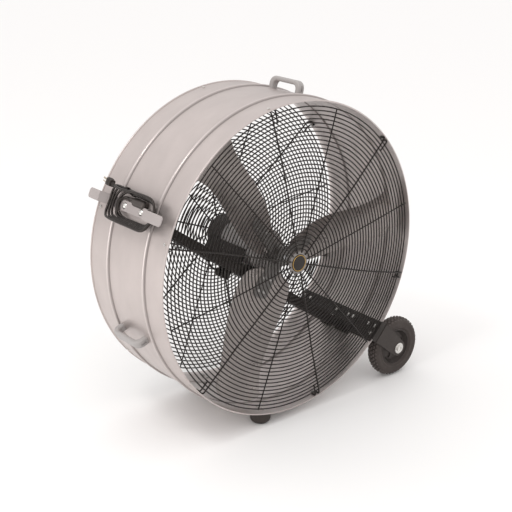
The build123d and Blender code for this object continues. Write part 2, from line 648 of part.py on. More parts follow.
# --- feet --------------------------------------------------------------------
feet, fsc = [], []
for s in (-1, 1):
    f = Pos(FOOT_X, s * FOOT_Y, -AXIS_Z) * extrude(Circle(40.0), 70, taper=-1)
    f = fillet(f.edges().sort_by(Axis.Z)[0:1], 21)
    f = f - ycyl(R, -H - 20, H + 20)
    for d in (-15, 15):
        f = f - rcyl(FOOT_TH, s * FOOT_Y + d, R - 5, R + 28, 3.2)
    feet.append(f)
for t, y in foot_pos:
    fsc.append(rcyl(t, y, R - T, R + 27, 3.2) + rcyl(t, y, R - T - 4.6, R - T - 0.12, 8.0) + rcyl(t, y, R - T - 1, R - T + 0.5, 3.2))
put("rubber_feet", *feet)

# --- handles -----------------------------------------------------------------
hs = []
for t, nm in zip(H_TH, ("top_handle", "side_handle")):
    pl = plane_at(t, H_Y, R)
    side = Plane(origin=pl.origin, x_dir=(0, 1, 0), z_dir=pl.y_dir * -1)
    # side plane: x along Y, y = z x x = outward or inward
    with BuildSketch() as k:
        RectangleRounded(2 * H_C + 24, 2 * H_H, 30)
        with Locations((0, -0.5)):
            RectangleRounded(2 * H_C - 24, 2 * (H_H - 18) + 1, 17, mode=Mode.SUBTRACT)
    body = extrude(k.sketch, 15, both=True)
    # orient: sketch x -> +Y, sketch y -> outward
    zz = Vector(0, 1, 0).cross(pl.z_dir)
    place = Plane(origin=pl.origin, x_dir=(0, 1, 0), z_dir=zz)
    body = fillet(body.edges().filter_by(Plane.XY), 8.0)
    body = place * body
    for sgn in (-1, 1):
        # recessed slot near the foot of each leg
        body = body - pl * Pos(sgn * (H_C + 12), 0, 20) * Box(7, 7.5, 22)
    body = body - ycyl(R, -H - 20, H + 20)
    for d in (-H_C, H_C):
        body = body - rcyl(t, H_Y + d, R - 5, R + 13, 2.6)
    put(nm, body)
    for d in (-H_C, H_C):
        hs.append(rcyl(t, H_Y + d, R - T - 0.1, R + 13, 2.6) + rcyl(t, H_Y + d, R - T - 3.6, R - T - 0.1, 5.5))

# --- cord wrap bracket --------------------------------------------------------
CW = plane_at(CW_TH, 0, R)          # x along Y, y towards decreasing th, z outward
side = Plane(origin=CW.origin, x_dir=(0, 1, 0), z_dir=Vector(0, 1, 0).cross(CW.z_dir))
pts = [(-216, 44), (-112, 44), (-94, 12), (160, 12), (178, 44), (240, 44)]
t4 = 4.0


def strip(points, th_):
    # thick polyline, mitred, thickness upward from the given lower line
    n = len(points)
    up = []
    for i in range(n):
        x, y = points[i]
        if i == 0:
            a = b = (points[1][0] - x, points[1][1] - y)
        elif i == n - 1:
            a = b = (x - points[i - 1][0], y - points[i - 1][1])
        else:
            a = (x - points[i - 1][0], y - points[i - 1][1])
            b = (points[i + 1][0] - x, points[i + 1][1] - y)
        la, lb = sqrt(a[0] ** 2 + a[1] ** 2), sqrt(b[0] ** 2 + b[1] ** 2)
        na = (-a[1] / la, a[0] / la)
        nb = (-b[1] / lb, b[0] / lb)
        m = (na[0] + nb[0], na[1] + nb[1])
        lm = sqrt(m[0] ** 2 + m[1] ** 2)
        m = (m[0] / lm, m[1] / lm)
        k_ = th_ / (m[0] * na[0] + m[1] * na[1])
        up.append((x + m[0] * k_, y + m[1] * k_))
    return list(points) + up[::-1]


ring_pts = strip(pts, t4)
with BuildSketch() as k:
    with BuildLine():
        Polyline(*ring_pts, ring_pts[0])
    make_face()
wrap = side * extrude(k.sketch, 19, both=True)
# rounded ear ends, seen from outside
with BuildSketch() as k:
    with Locations(((240 - 216) / 2, 0)):
        RectangleRounded(456, 38, 12)
wrap = wrap & (CW * Pos(0, 0, -10) * extrude(k.sketch, 80))
for t, y in wrap_pos:
    wrap = wrap - rcyl(t, y, R, R + 60, 4.25)
put("cord_wrap_bracket", wrap)
wrap_clear = CW * Pos(0, 0, 14.0) * Box(200, 38.6, 4.6)
put("cord_wrap_spacers", *[rcyl(t, y, R - 4, R + 12, 9.0) - rcyl(t, y, R - 6, R + 20, 4.25) - ycyl(R, -H, H) for t, y in wrap_pos])
put("cord_wrap_bolts", *wrapb)

# --- power cord: gland, lead into the hank, hank, tail, plug -----------------------
V = lambda y, v, w: CW.from_local_coords(Vector(y, -v, w))
# hank: a flat ring, wide at the bottom, lying over the strip at its left end
HK = CW * Pos(0, 0, 29.0)
with BuildSketch() as k:
    with Locations((-3, 0)):
        SlotOverall(310, 126)
    with Locations((-23, -3)):
        SlotOverall(186, 79, mode=Mode.SUBTRACT)
hank = extrude(k.sketch, 12.5, both=True)
hank = fillet(hank.edges(), 5.0)
hank = HK * hank
print("hank volume", hank.volume, hank.is_valid)
put("cord_hank", hank)
# tie round the upper run
with BuildSketch() as k:
    RectangleRounded(28, 33, 8)
    RectangleRounded(21.6, 26.0, 5.2, mode=Mode.SUBTRACT)
tie = CW * Pos(20, -52.9, 29.0) * Rot(0, 90, 0) * Rot(0, 0, 90) * extrude(k.sketch, 14)
put("cord_tie", tie)
bb_ = tie.bounding_box()
print("tie box", bb_.size, "in wrap coordinates", CW.to_local_coords(tie.center()))

# cord outlet: an oblong domed hood on the drum with a threaded stem and a nut inside
g_pl = CW * Pos(GL_Y, -26.0, 0)
with BuildSketch() as k:
    SlotOverall(80, 32)
g_top = g_pl * Pos(0, 0, -4) * extrude(k.sketch, 28)
g_top = fillet(g_top.faces().sort_by(Axis((0, 0, 0), (sin(radians(CW_TH)), 0, cos(radians(CW_TH)))))[-1].edges(), 12.0)
g_top = g_top - ycyl(R + 0.05, -H, H) - wrap_clear
g_stem = rcyl(GL_TH, GL_Y, R - 12, R + 4, 8.8)
g_nut = rhex(GL_TH, GL_Y, R - 12, R - T - 0.6, 20.0)
g_boss = g_pl * Pos(47, -4, 11.5) * Rot(0, 90, 0) * Cone(8.6, 5.4, 24)
gland = g_top + g_stem + g_nut + g_boss
print("gland solids", len(gland.solids()))
put("cord_gland", gland)
lead_pts = [V(GL_Y + 59.0, 30, 11.5), V(51, 31, 13.0), V(64, 28, 17.0), V(73.5, 19.5, 21.6)]


def cord_tube(points, dia, name):
    radii = []
    for i in range(1, len(points) - 1):
        a = points[i] - points[i - 1]
        b_ = points[i + 1] - points[i]
        turn = radians(a.get_angle(b_))
        radii.append(0.45 * min(a.length, b_.length) / math.tan(turn / 2))
    print(name, "radii", [round(x, 1) for x in radii])
    path = FilletPolyline(*points, radius=radii)
    w_ = path.wire() if hasattr(path, "wire") else Wire(path)
    t0 = w_.tangent_at(0)
    prof = Plane(origin=w_.position_at(0), z_dir=t0) * Circle(dia / 2)
    s_ = sweep(prof, path=w_)
    print(name, "volume", s_.volume, "expected", w_.length * pi * dia * dia / 4, "length", w_.length)
    return s_


lead = cord_tube(lead_pts, CORD_D, "cord_lead")
put("cord_lead", lead)
tail_pts = [V(34, 50.0, 37.5), V(56, 51.5, 45.0), V(78, 52.5, 49.5), V(100, 56.0, 51.0)]
tail = cord_tube(tail_pts, CORD_D, "cord_tail")
put("cord_tail", tail)
# plug: tapered relief, moulded body, three prongs
pdir = (tail_pts[-1] - tail_pts[-2]).normalized()
ppl = Plane(origin=tail_pts[-1], x_dir=CW.z_dir, z_dir=pdir)
relief = ppl * Pos(0, 0, 9) * Cone(6.0, 8.5, 18)
with BuildSketch() as k:
    RectangleRounded(27, 30, 8)
with BuildSketch() as k2:
    RectangleRounded(24, 25, 7)
pbody = loft([ppl * Pos(0, 0, 18) * k2.sketch, ppl * Pos(0, 0, 46) * k.sketch])
plug = pbody + relief
pr = [ppl * Pos(6.35 * sx, 4.0, 46 + 8.5) * Box(1.5, 6.3, 18) for sx in (-1, 1)]
gp = ppl * Pos(0, -7.9, 46 + 10) * Cylinder(2.4, 21)
for q in pr + [gp]:
    plug = plug - q
put("plug_body", plug)
put("plug_prongs", *(pr + [gp]))

# --- motor lead: from the terminal box along the struts to the gland --------------------
ML = lambda x, y, z: MF.from_local_coords(Vector(x, y, z))
ml = [ML(-97.05, 38, -155), ML(-132, 38, -155), ML(-168, 25, -142), ML(-210, 10, -124), ML(-256, 3, -117),
      ML(-305, -1, -116), ML(-352, -6, -113), ML(-398, -12, -104), ML(-442, -17, -89), ML(-490, -21, -71), pol(GL_TH, 545, GL_Y),
      pol(GL_TH, 593, GL_Y)]
mlead = cord_tube(ml, 8.0, "motor_lead")
print("motor lead end", ml[-1], "gland nut at r", R - 12)
put("motor_lead", mlead)

# --- speed switch: box, knob --------------------------------------------------------
sp_ = plane_at(SW_TH, SW_Y, R)
sbox = sp_ * Pos(0, 0, 12) * Box(92, 62, 40)
sbox = fillet(sbox.edges(), 4)
sbox = sbox - sp_ * Pos(0, 0, 6) * Box(84, 54, 42)
for d in (-32, 32):
    sbox = sbox + rcyl(SW_TH, SW_Y + d, R - 4, R + 29, 7.0)
sbox = sbox - ycyl(R, -H - 20, H + 20)
for d in (-32, 32):
    sbox = sbox - rcyl(SW_TH, SW_Y + d, R - 4, R + 16, 2.6)
sbox = sbox - rcyl(SW_TH, SW_Y, R + 20, R + 50, 4.05)
put("switch_box", sbox)
swbody = sp_ * Pos(0, 0, 14) * Box(30, 30, 26)
swbody = swbody - rcyl(SW_TH, SW_Y, R + 18, R + 40, 4.05)
put("switch_body", swbody)
knob = rcyl(SW_TH, SW_Y, R + 32.6, R + 46, 17.0)
knob = knob + sp_ * Pos(0, 0, 46.5) * Box(32, 7, 7)
knob = knob + rcyl(SW_TH, SW_Y, R + 19, R + 33, 4.0)
put("switch_knob", knob)
for t, y in switch_pos:
    hs.append(rcyl(t, y, R - T - 0.1, R + 13, 2.6) + rcyl(t, y, R - T - 3.6, R - T - 0.1, 5.5))
put("pan_head_screws", *(hs + fsc))

# --- overall size -----------------------------------------------------------------
cordish = {"cord_hank", "cord_lead", "cord_tail", "plug_body", "plug_prongs"}
lo = [1e9] * 3
hi = [-1e9] * 3
for n_, c in NODES.items():
    if n_ in cordish:
        continue
    bb = c.bounding_box()
    for i, (a_, b_) in enumerate(((bb.min.X, bb.max.X), (bb.min.Y, bb.max.Y), (bb.min.Z, bb.max.Z))):
        lo[i] = min(lo[i], a_)
        hi[i] = max(hi[i], b_)
print("bbox", [round(v, 2) for v in lo], [round(v, 2) for v in hi], "x centre", round((lo[0] + hi[0]) / 2, 3), "y centre", round((lo[1] + hi[1]) / 2, 3))
print("nodes", len(NODES))
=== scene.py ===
import bpy, bmesh, math, random
from math import sin, cos, pi, radians, degrees, sqrt, atan2, hypot
from mathutils import Vector, Matrix


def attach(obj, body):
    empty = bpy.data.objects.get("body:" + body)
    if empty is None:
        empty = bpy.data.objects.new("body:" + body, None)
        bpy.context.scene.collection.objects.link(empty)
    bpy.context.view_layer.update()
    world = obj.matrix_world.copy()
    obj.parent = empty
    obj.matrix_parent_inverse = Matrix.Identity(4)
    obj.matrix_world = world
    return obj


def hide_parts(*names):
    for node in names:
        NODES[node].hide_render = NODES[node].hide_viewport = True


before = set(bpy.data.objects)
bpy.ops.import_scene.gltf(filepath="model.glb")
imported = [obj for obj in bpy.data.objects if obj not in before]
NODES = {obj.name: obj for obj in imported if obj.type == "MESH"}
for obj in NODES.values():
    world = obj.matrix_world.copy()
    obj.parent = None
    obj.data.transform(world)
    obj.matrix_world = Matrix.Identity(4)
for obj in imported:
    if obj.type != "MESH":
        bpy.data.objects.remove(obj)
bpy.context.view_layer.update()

# ---------------------------------------------------------------- frame
# Fan frame: millimetres, X right seen from the front, Y from front to rear
# with 0 at the drum's middle plane, Z up, the fan's axis on Y.
SX, AZ = -41.95, 644.5
R, H = 605.0, 234.0


def P(x, y, z):
    return Vector(((x + SX) / 1000.0, y / 1000.0, (z + AZ) / 1000.0))


def pol(th, r, y):
    return P(r * sin(radians(th)), y, r * cos(radians(th)))


# ---------------------------------------------------------------- camera
cam_data = bpy.data.cameras.new("camera")
cam = bpy.data.objects.new("camera", cam_data)
bpy.context.scene.collection.objects.link(cam)
cam_data.lens = 77.71
cam_data.sensor_width = 36.0
cam_data.clip_end = 60.0
right = Vector((0.77443, -0.63266, 0.0))
up = Vector((0.21839, 0.26732, 0.93853))
back = Vector((-0.59377, -0.72683, 0.34519))
M = Matrix((right, up, back)).transposed().to_4x4()
M.translation = P(-4.2295 * R, -4.7799 * R - H, 2.3864 * R)
cam.matrix_world = M
bpy.context.scene.camera = cam

# ---------------------------------------------------------------- light and floor
world = bpy.data.worlds.new("world")
bpy.context.scene.world = world
world.use_nodes = True
bg = world.node_tree.nodes["Background"]
bg.inputs["Strength"].default_value = 1.0
# studio surround: brighter overhead, darker towards the horizon
wt = world.node_tree
w_tc = wt.nodes.new("ShaderNodeTexCoord")
w_sep = wt.nodes.new("ShaderNodeSeparateXYZ")
w_ramp = wt.nodes.new("ShaderNodeValToRGB")
w_map = wt.nodes.new("ShaderNodeMapRange")
w_map.inputs["From Min"].default_value = -0.05
w_map.inputs["From Max"].default_value = 0.80
w_map.inputs["To Min"].default_value = 0.0
w_map.inputs["To Max"].default_value = 1.0
wt.links.new(w_tc.outputs["Generated"], w_sep.inputs["Vector"])
wt.links.new(w_sep.outputs["Z"], w_map.inputs["Value"])
wt.links.new(w_map.outputs["Result"], w_ramp.inputs["Fac"])
w_ramp.color_ramp.elements[0].position = 0.0
w_ramp.color_ramp.elements[0].color = (0.50, 0.485, 0.48, 1)
w_ramp.color_ramp.elements[1].position = 0.75
w_ramp.color_ramp.elements[1].color = (1.12, 1.105, 1.10, 1)
wt.links.new(w_ramp.outputs["Color"], bg.inputs["Color"])
bpy.context.scene.view_settings.view_transform = "Standard"
bpy.context.scene.view_settings.look = "None"


def area(name, loc, target, size, power, color=(1, 1, 1), size_y=None):
    d = bpy.data.lights.new(name, "AREA")
    d.size = size
    if size_y:
        d.shape = "RECTANGLE"
        d.size_y = size_y
    d.energy = power
    d.color = color
    o = bpy.data.objects.new(name, d)
    bpy.context.scene.collection.objects.link(o)
    o.location = loc
    v = Vector(target) - Vector(loc)
    o.rotation_euler = v.to_track_quat("-Z", "Y").to_euler()
    return o


area("key", (-2.4, -0.3, 4.2), (-0.4, 0.0, 0.8), 0.8, 34, (1.0, 0.985, 0.97))
area("left_fill", (-4.4, 1.2, 1.0), (-0.5, 0.0, 0.6), 1.8, 34, (1.0, 0.985, 0.97))
area("front_soft", (-3.2, -4.2, 3.6), (0, 0, 0.6), 2.6, 12, (1.0, 0.985, 0.97))
area("right_strip", (3.2, -2.6, 1.6), (0, 0, 0.6), 0.8, 8, (1.0, 0.98, 0.96), 2.6)


# ---------------------------------------------------------------- materials
def material(name, color, rough, metal=0.0, var=0.10, var_scale=8.0, rough_var=0.08, rough_scale=25.0,
             bump=0.05, bump_scale=400.0, dist=0.0006, stretch=(1, 1, 1), coat=0.0, spec=0.5, dark=None,
             detail=6.0, coat_rough=0.1, edge=0.0, tint=None):
    m = bpy.data.materials.new(name)
    m.use_nodes = True
    nt = m.node_tree
    bs = nt.nodes["Principled BSDF"]
    tc = nt.nodes.new("ShaderNodeTexCoord")
    mp = nt.nodes.new("ShaderNodeMapping")
    mp.inputs["Scale"].default_value = stretch
    nt.links.new(tc.outputs["Object"], mp.inputs["Vector"])

    def noise(scale, det, src=None):
        n = nt.nodes.new("ShaderNodeTexNoise")
        n.inputs["Scale"].default_value = scale
        n.inputs["Detail"].default_value = det
        nt.links.new((src or mp).outputs[0] if src else mp.outputs["Vector"], n.inputs["Vector"])
        return n
    n1 = noise(var_scale, detail)
    ramp = nt.nodes.new("ShaderNodeValToRGB")
    c0 = dark if dark else tuple(max(0.0, c * (1 - var)) for c in color)
    c1 = color if dark else tuple(min(1.0, c * (1 + var)) for c in color)
    ramp.color_ramp.elements[0].position = 0.3
    ramp.color_ramp.elements[1].position = 0.7
    ramp.color_ramp.elements[0].color = (*c0, 1)
    ramp.color_ramp.elements[1].color = (*c1, 1)
    nt.links.new(n1.outputs["Fac"], ramp.inputs["Fac"])
    out_col = ramp.outputs["Color"]
    if edge > 0:
        geo = nt.nodes.new("ShaderNodeNewGeometry")
        er = nt.nodes.new("ShaderNodeValToRGB")
        er.color_ramp.elements[0].position = 0.52
        er.color_ramp.elements[1].position = 0.60
        nt.links.new(geo.outputs["Pointiness"], er.inputs["Fac"])
        mx = nt.nodes.new("ShaderNodeMix")
        mx.data_type = "RGBA"
        mx.blend_type = "MIX"
        sc = nt.nodes.new("ShaderNodeMath")
        sc.operation = "MULTIPLY"
        sc.inputs[1].default_value = edge
        nt.links.new(er.outputs["Color"], sc.inputs[0])
        nt.links.new(sc.outputs[0], mx.inputs["Factor"])
        nt.links.new(out_col, mx.inputs["A"])
        mx.inputs["B"].default_value = (*[min(1, c * 2.2 + 0.05) for c in color], 1)
        out_col = mx.outputs["Result"]
    nt.links.new(out_col, bs.inputs["Base Color"])
    n2 = noise(rough_scale, 4.0)
    mr = nt.nodes.new("ShaderNodeMapRange")
    mr.inputs["From Min"].default_value = 0.3
    mr.inputs["From Max"].default_value = 0.7
    mr.inputs["To Min"].default_value = max(0.03, rough - rough_var)
    mr.inputs["To Max"].default_value = min(1.0, rough + rough_var)
    nt.links.new(n2.outputs["Fac"], mr.inputs["Value"])
    nt.links.new(mr.outputs["Result"], bs.inputs["Roughness"])
    n3 = noise(bump_scale, 3.0)
    bp = nt.nodes.new("ShaderNodeBump")
    bp.inputs["Strength"].default_value = bump
    bp.inputs["Distance"].default_value = dist
    nt.links.new(n3.outputs["Fac"], bp.inputs["Height"])
    nt.links.new(bp.outputs["Normal"], bs.inputs["Normal"])
    bs.inputs["Metallic"].default_value = metal
    bs.inputs["Specular IOR Level"].default_value = spec
    if tint is None and max(color) < 0.06:
        tint = (1.0, 0.87, 0.81)
    if tint:
        bs.inputs["Specular Tint"].default_value = (*tint, 1)
    if coat > 0:
        bs.inputs["Coat Weight"].default_value = coat
        bs.inputs["Coat Roughness"].default_value = coat_rough
    return m


MAT = {
    "galv": material("galvanised_sheet", (0.585, 0.5275, 0.51), 0.38, 0.70, var=0.04, var_scale=9.0, rough_var=0.05,
                     rough_scale=14.0, bump=0.06, bump_scale=70.0, dist=0.0003, stretch=(1.0, 1.6, 1.0), detail=8.0),
    "wire": material("black_wire", (0.010, 0.0085, 0.0078), 0.30, 0.0, var=0.25, var_scale=30, rough_var=0.07, rough_scale=60,
                     bump=0.05, bump_scale=500, dist=0.0002, coat=0.1, coat_rough=0.12, spec=0.32),
    "black": material("black_frame_paint", (0.011, 0.009, 0.008), 0.42, 0.0, var=0.22, var_scale=12, rough_var=0.08, rough_scale=40,
                      bump=0.12, bump_scale=900, dist=0.0003, edge=0.2, spec=0.3),
    "bracket": material("bracket_paint", (0.026, 0.0215, 0.0195), 0.52, 0.0, var=0.12, var_scale=14, rough_var=0.08, rough_scale=50,
                        bump=0.15, bump_scale=1100, dist=0.0003, edge=0.15, spec=0.35),
    "motor": material("motor_paint", (0.50, 0.47, 0.46), 0.42, 0.1, var=0.08, var_scale=10, rough_var=0.08, rough_scale=35,
                      bump=0.10, bump_scale=700, dist=0.0003, edge=0.2),
    "motor_dark": material("motor_base_paint", (0.024, 0.0205, 0.019), 0.45, 0.0, var=0.15, var_scale=12, rough_var=0.08, rough_scale=35,
                           bump=0.12, bump_scale=800, dist=0.0003, edge=0.15, spec=0.35),
    "bell": material("motor_rear_bell_paint", (0.040, 0.035, 0.033), 0.45, 0.0, var=0.12, var_scale=12, rough_var=0.08, rough_scale=35,
                     bump=0.12, bump_scale=800, dist=0.0003, edge=0.15, spec=0.4),
    "can": material("capacitor_can", (0.52, 0.50, 0.49), 0.34, 0.85, var=0.06, var_scale=30, rough_var=0.08, rough_scale=60,
                    bump=0.08, bump_scale=500, dist=0.0002),
    "lamination": material("stator_steel", (0.30, 0.28, 0.27), 0.45, 0.8, var=0.12, var_scale=20, rough_var=0.08, rough_scale=60,
                           bump=0.30, bump_scale=220, dist=0.0005, stretch=(0.2, 6.0, 0.2)),
    "copper": material("winding_copper", (0.45, 0.17, 0.06), 0.38, 0.9, var=0.2, var_scale=60, bump=0.5, bump_scale=260, dist=0.001),
    "steel": material("bearing_steel", (0.56, 0.56, 0.57), 0.25, 1.0, var=0.05, var_scale=20, rough_var=0.06, rough_scale=70,
                      bump=0.08, bump_scale=400, dist=0.0002, stretch=(1, 5, 1)),
    "zinc": material("zinc_fastener", (0.66, 0.645, 0.62), 0.27, 0.95, var=0.08, var_scale=60, rough_var=0.09, rough_scale=120,
                     bump=0.10, bump_scale=900, dist=0.0002),
    "hub": material("hub_metal", (0.20, 0.188, 0.18), 0.45, 0.5, var=0.12, var_scale=15, rough_var=0.1, rough_scale=40,
                    bump=0.12, bump_scale=600, dist=0.0003, edge=0.25),
    "blade": material("blade_aluminium", (0.42, 0.378, 0.36), 0.33, 0.82, var=0.07, var_scale=5, rough_var=0.08, rough_scale=18,
                      bump=0.08, bump_scale=300, dist=0.0003, detail=8),
    "rivet": material("rivet_aluminium", (0.50, 0.48, 0.47), 0.35, 0.9, var=0.08, var_scale=50, bump=0.1, bump_scale=600, dist=0.0002),
    "badge": material("badge_enamel", (0.010, 0.009, 0.008), 0.20, 0.0, var=0.2, var_scale=60, rough_var=0.05, rough_scale=90,
                      bump=0.05, bump_scale=700, dist=0.0002, coat=0.15, coat_rough=0.2, spec=0.3),
    "gold": material("badge_gold", (0.58, 0.36, 0.10), 0.30, 0.9, var=0.1, var_scale=80, bump=0.1, bump_scale=700, dist=0.0002),
    "plate": material("grille_centre_plate", (0.24, 0.222, 0.214), 0.40, 0.4, var=0.08, var_scale=30, bump=0.1, bump_scale=600, dist=0.0002),
    "tyre": material("tyre_rubber", (0.046, 0.038, 0.035), 0.62, 0.0, var=0.14, var_scale=18, rough_var=0.1, rough_scale=50,
                     bump=0.25, bump_scale=900, dist=0.0004, edge=0.5, spec=0.35),
    "rim": material("rim_paint", (0.022, 0.0182, 0.0168), 0.48, 0.0, var=0.15, var_scale=16, rough_var=0.08, rough_scale=60,
                    bump=0.12, bump_scale=800, dist=0.0003, edge=0.2),
    "rubber": material("black_rubber", (0.030, 0.0255, 0.0235), 0.60, 0.0, var=0.2, var_scale=25, rough_var=0.1, rough_scale=60,
                       bump=0.2, bump_scale=1000, dist=0.0003),
    "plastic": material("grey_plastic", (0.36, 0.339, 0.33), 0.44, 0.0, var=0.04, var_scale=10, rough_var=0.06, rough_scale=60,
                        bump=0.16, bump_scale=1400, dist=0.0002),
    "greysteel": material("grey_steel_paint", (0.32, 0.287, 0.279), 0.40, 0.15, var=0.04, var_scale=12, rough_var=0.07, rough_scale=60,
                          bump=0.10, bump_scale=1200, dist=0.0002, edge=0.15),
    "darkplastic": material("dark_plastic", (0.055, 0.048, 0.045), 0.40, 0.0, var=0.12, var_scale=20, rough_var=0.08, rough_scale=60,
                            bump=0.15, bump_scale=1200, dist=0.0002),
    "cord": material("cord_rubber", (0.0075, 0.0061, 0.0055), 0.31, 0.0, var=0.25, var_scale=40, rough_var=0.08, rough_scale=60,
                     bump=0.15, bump_scale=700, dist=0.0002),
    "strap": material("woven_strap", (0.020, 0.0175, 0.0165), 0.78, 0.0, var=0.3, var_scale=160, rough_var=0.08, rough_scale=200,
                      bump=0.5, bump_scale=900, dist=0.0006, spec=0.3),
    "plug": material("plug_rubber", (0.016, 0.0135, 0.012), 0.42, 0.0, var=0.2, var_scale=40, rough_var=0.08, rough_scale=80,
                     bump=0.2, bump_scale=1100, dist=0.0002),
    "brass": material("brass_prong", (0.60, 0.53, 0.44), 0.28, 1.0, var=0.08, var_scale=80, bump=0.06, bump_scale=600, dist=0.0001),
}

# rolled beads: painted highlight on the crest and painted shade at the feet, on the outside of the drum
gm = MAT["galv"].node_tree
g_bs = gm.nodes["Principled BSDF"]
g_src = g_bs.inputs["Base Color"].links[0].from_socket
g_tc = gm.nodes.new("ShaderNodeTexCoord")
g_sep = gm.nodes.new("ShaderNodeSeparateXYZ")
gm.links.new(g_tc.outputs["Object"], g_sep.inputs["Vector"])


def g_math(op, a, b=None):
    n = gm.nodes.new("ShaderNodeMath")
    n.operation = op
    gm.links.new(a, n.inputs[0])
    if b is not None:
        n.inputs[1].default_value = b
    return n.outputs[0]


g_d = g_math("ABSOLUTE", g_math("SUBTRACT", g_math("ABSOLUTE", g_sep.outputs["Y"]), 0.115))
# painted light across each bead: crest at full colour as a painted highlight, feet darkened to 0.52 as painted shade,
# flat sheet at 0.90
g_bead_light_ramp = gm.nodes.new("ShaderNodeValToRGB")
gm.links.new(g_math("MULTIPLY", g_d, 50.0), g_bead_light_ramp.inputs["Fac"])
el = g_bead_light_ramp.color_ramp.elements
el[0].position, el[0].color = 0.0, (1, 1, 1, 1)
el[1].position, el[1].color = 0.14, (1, 1, 1, 1)
for pos, val in ((0.30, 0.72), (0.47, 0.52), (0.56, 0.60), (0.68, 0.88), (0.80, 0.90)):
    e_ = el.new(pos)
    e_.color = (val, val * 0.99, val * 0.985, 1)
g_bead_light_mix = gm.nodes.new("ShaderNodeMix")
g_bead_light_mix.data_type = "RGBA"
g_bead_light_mix.blend_type = "MULTIPLY"
g_x = g_math("ADD", g_sep.outputs["X"], 0.04195)
g_z = g_math("SUBTRACT", g_sep.outputs["Z"], 0.6445)
g_r2 = gm.nodes.new("ShaderNodeMath")
g_r2.operation = "ADD"
gm.links.new(g_math("POWER", g_math("ABSOLUTE", g_x), 2.0), g_r2.inputs[0])
gm.links.new(g_math("POWER", g_math("ABSOLUTE", g_z), 2.0), g_r2.inputs[1])
# the painted bead highlight and shade apply only outside the drum's radius
gm.links.new(g_math("GREATER_THAN", g_r2.outputs[0], 0.6045 ** 2), g_bead_light_mix.inputs["Factor"])
gm.links.new(g_src, g_bead_light_mix.inputs["A"])
gm.links.new(g_bead_light_ramp.outputs["Color"], g_bead_light_mix.inputs["B"])
gm.links.new(g_bead_light_mix.outputs["Result"], g_bs.inputs["Base Color"])

NODE_MAT = {
    "galv": ["drum_housing"],
    "black": ["wheel_side_plate", "wrap_side_plate", "front_strut", "rear_strut", "wheel_bracket_spacers"],
    "bracket": ["front_wheel_bracket", "rear_wheel_bracket"],
    "zinc": ["grille_screws", "frame_bolts", "frame_nuts", "motor_through_bolts", "hub_set_screw", "axle_bolts", "axle_nuts",
             "pan_head_screws", "cord_wrap_bolts"],
    "motor": ["motor_shell", "motor_front_bell"],
    "bell": ["motor_rear_bell", "motor_rear_cover"],
    "motor_dark": ["motor_base", "terminal_box"],
    "can": ["run_capacitor"],
    "lamination": ["motor_stator", "motor_rotor"],
    "steel": ["motor_bearings", "motor_shaft", "front_wheel_bearing", "rear_wheel_bearing"],
    "hub": ["fan_hub"],
    "blade": ["fan_blade_1", "fan_blade_2", "fan_blade_3"],
    "rivet": ["blade_rivets"],
    "rim": ["front_wheel_rim", "rear_wheel_rim"],
    "rubber": ["rubber_feet", "motor_isolators", "cord_wrap_spacers"],
    "plastic": ["top_handle", "side_handle", "switch_box"],
    "greysteel": ["cord_wrap_bracket"],
    "darkplastic": ["cord_gland", "switch_body", "switch_knob"],
    "cord": ["motor_lead"],
    "plug": ["plug_body"],
    "brass": ["plug_prongs"],
    "wire": ["front_grille", "rear_grille", "grille_clips"],
    "badge": ["centre_badge"],
    "tyre": ["front_tyre", "rear_tyre"],
}
for key, names in NODE_MAT.items():
    for n in names:
        ob = NODES[n]
        ob.data.materials.clear()
        ob.data.materials.append(MAT[key])


# ---------------------------------------------------------------- mesh helpers
def make(name, verts, faces, mat, body, smooth=True, replaces=(), sharp=None):
    me = bpy.data.meshes.new(name)
    me.from_pydata([tuple(v) for v in verts], [], faces)
    me.update()
    bm = bmesh.new()
    bm.from_mesh(me)
    bmesh.ops.recalc_face_normals(bm, faces=bm.faces)
    bm.to_mesh(me)
    bm.free()
    for p in me.polygons:
        p.use_smooth = smooth
    if sharp is not None:
        me.set_sharp_from_angle(angle=radians(sharp))
    ob = bpy.data.objects.new(name, me)
    bpy.context.scene.collection.objects.link(ob)
    me.materials.append(MAT[mat])
    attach(ob, body)
    if replaces:
        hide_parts(*replaces)
    return ob


class Acc:
    """Collects several bodies of one piece."""

    def __init__(self):
        self.v, self.f = [], []

    def add(self, v, f):
        n = len(self.v)
        self.v += [tuple(q) for q in v]
        self.f += [tuple(i + n for i in q) for q in f]


def tube(points, rad, sides=8, closed=False):
    """Round wire along points, with flat ends if open. rad is a number or a list."""
    pts = [Vector(p) for p in points]
    n = len(pts)
    rads = rad if isinstance(rad, (list, tuple)) else [rad] * n
    tang = []
    for i in range(n):
        a = pts[(i - 1) % n] if (closed or i > 0) else pts[i]
        b = pts[(i + 1) % n] if (closed or i < n - 1) else pts[i]
        tang.append((b - a).normalized())
    ref = Vector((0, 1, 0))
    if abs(tang[0].dot(ref)) > 0.9:
        ref = Vector((1, 0, 0))
    nrm = (ref - tang[0] * ref.dot(tang[0])).normalized()
    v, f = [], []
    for i in range(n):
        t = tang[i]
        nrm = (nrm - t * nrm.dot(t)).normalized()
        bi = t.cross(nrm)
        for j in range(sides):
            a = 2 * pi * j / sides
            v.append(pts[i] + (nrm * cos(a) + bi * sin(a)) * rads[i])
    m = n if closed else n - 1
    for i in range(m):
        for j in range(sides):
            a, b = i * sides + j, i * sides + (j + 1) % sides
            c, d = ((i + 1) % n) * sides + (j + 1) % sides, ((i + 1) % n) * sides + j
            f.append((a, b, c, d))
    if not closed:
        f.append(tuple(range(sides - 1, -1, -1)))
        f.append(tuple(range((n - 1) * sides, n * sides)))
    return v, f


